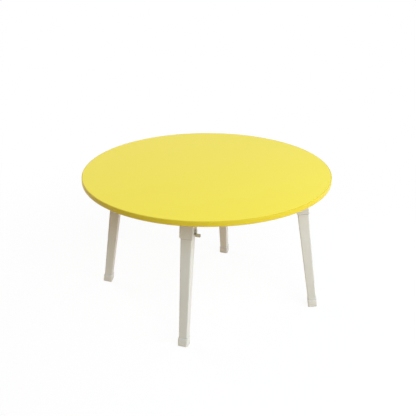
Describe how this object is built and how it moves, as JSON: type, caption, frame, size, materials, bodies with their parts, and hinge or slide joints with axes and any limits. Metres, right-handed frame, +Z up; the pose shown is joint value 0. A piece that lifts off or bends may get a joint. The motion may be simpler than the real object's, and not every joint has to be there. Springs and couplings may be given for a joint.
{
  "type": "folding low table",
  "caption": "Round low table: a faced and edged board on splayed, tapered steel legs that fold flat under it, each held open by a spring latch with a thumb tab.",
  "frame": {"origin": "on the floor, under the middle of the round top", "axes": "+Z up; the side feet stand on +X and -X, the front foot towards -Y and the back foot towards +Y"},
  "size_m": [0.6, 0.6, 0.35],
  "materials": {
    "board": "raw fibreboard",
    "top_laminate": "satin laminate",
    "back_laminate": "matt balancing paper",
    "edge_plastic": "satin moulded edging",
    "leg_paint": "ivory powder coat",
    "foot_plastic": "moulded",
    "latch_zinc": "yellow zinc plate",
    "fastener_steel": "bright zinc plate",
    "sleeve_steel": "plain"
  },
  "bodies": {
    "table_top": {"top_core": "board", "top_facing": "top_laminate", "back_facing": "back_laminate", "edge_band": "edge_plastic", "hinge_bracket_right": "leg_paint", "bracket_screws_right": "fastener_steel", "hinge_pin_right": "fastener_steel", "latch_rivets_right": "fastener_steel", "hinge_bracket_back": "leg_paint", "bracket_screws_back": "fastener_steel", "hinge_pin_back": "fastener_steel", "latch_rivets_back": "fastener_steel", "hinge_bracket_left": "leg_paint", "bracket_screws_left": "fastener_steel", "hinge_pin_left": "fastener_steel", "latch_rivets_left": "fastener_steel", "hinge_bracket_front": "leg_paint", "bracket_screws_front": "fastener_steel", "hinge_pin_front": "fastener_steel", "latch_rivets_front": "fastener_steel"},
    "leg_right": {"leg_tube_right": "leg_paint", "hinge_sleeve_right": "sleeve_steel", "foot_cap_right": "foot_plastic"},
    "leg_back": {"leg_tube_back": "leg_paint", "hinge_sleeve_back": "sleeve_steel", "foot_cap_back": "foot_plastic"},
    "leg_left": {"leg_tube_left": "leg_paint", "hinge_sleeve_left": "sleeve_steel", "foot_cap_left": "foot_plastic"},
    "leg_front": {"leg_tube_front": "leg_paint", "hinge_sleeve_front": "sleeve_steel", "foot_cap_front": "foot_plastic"},
    "latch_right": {"latch_spring_right": "latch_zinc"},
    "latch_back": {"latch_spring_back": "latch_zinc"},
    "latch_left": {"latch_spring_left": "latch_zinc"},
    "latch_front": {"latch_spring_front": "latch_zinc"}
  },
  "joints": [
    {"name": "fold_right", "type": "hinge", "parent": "table_top", "child": "leg_right", "pos_m": [0.23, -0.00611, 0.318], "axis": [-0.1219, 0.9925, 0], "range_deg": [0, 92], "deforming": ["latch_spring_right"]},
    {"name": "fold_back", "type": "hinge", "parent": "table_top", "child": "leg_back", "pos_m": [-0.00306, 0.186, 0.318], "axis": [-0.9981, 0.061, 0], "range_deg": [0, 99], "deforming": ["latch_spring_back"]},
    {"name": "fold_left", "type": "hinge", "parent": "table_top", "child": "leg_left", "pos_m": [-0.23, 0.00611, 0.318], "axis": [0.1219, -0.9925, 0], "range_deg": [0, 92], "deforming": ["latch_spring_left"]},
    {"name": "fold_front", "type": "hinge", "parent": "table_top", "child": "leg_front", "pos_m": [0.00306, -0.186, 0.318], "axis": [0.9981, -0.061, 0], "range_deg": [0, 99], "deforming": ["latch_spring_front"]},
    {"name": "release_right", "type": "hinge", "parent": "table_top", "child": "latch_right", "pos_m": [0.23188, 0.01042, 0.29351], "axis": [0.9803, 0.1204, 0.1564], "range_deg": [0, 8], "stiffness_Nm_per_rad": 0.5, "deforming": ["latch_spring_right"]},
    {"name": "release_back", "type": "hinge", "parent": "table_top", "child": "latch_back", "pos_m": [-0.01898, 0.19086, 0.29351], "axis": [0.0603, 0.9858, 0.1564], "range_deg": [0, 8], "stiffness_Nm_per_rad": 0.5, "deforming": ["latch_spring_back"]},
    {"name": "release_left", "type": "hinge", "parent": "table_top", "child": "latch_left", "pos_m": [-0.23188, -0.01042, 0.29351], "axis": [-0.9803, -0.1204, 0.1564], "range_deg": [0, 8], "stiffness_Nm_per_rad": 0.5, "deforming": ["latch_spring_left"]},
    {"name": "release_front", "type": "hinge", "parent": "table_top", "child": "latch_front", "pos_m": [0.01898, -0.19086, 0.29351], "axis": [-0.0603, -0.9858, 0.1564], "range_deg": [0, 8], "stiffness_Nm_per_rad": 0.5, "deforming": ["latch_spring_front"]}
  ]
}
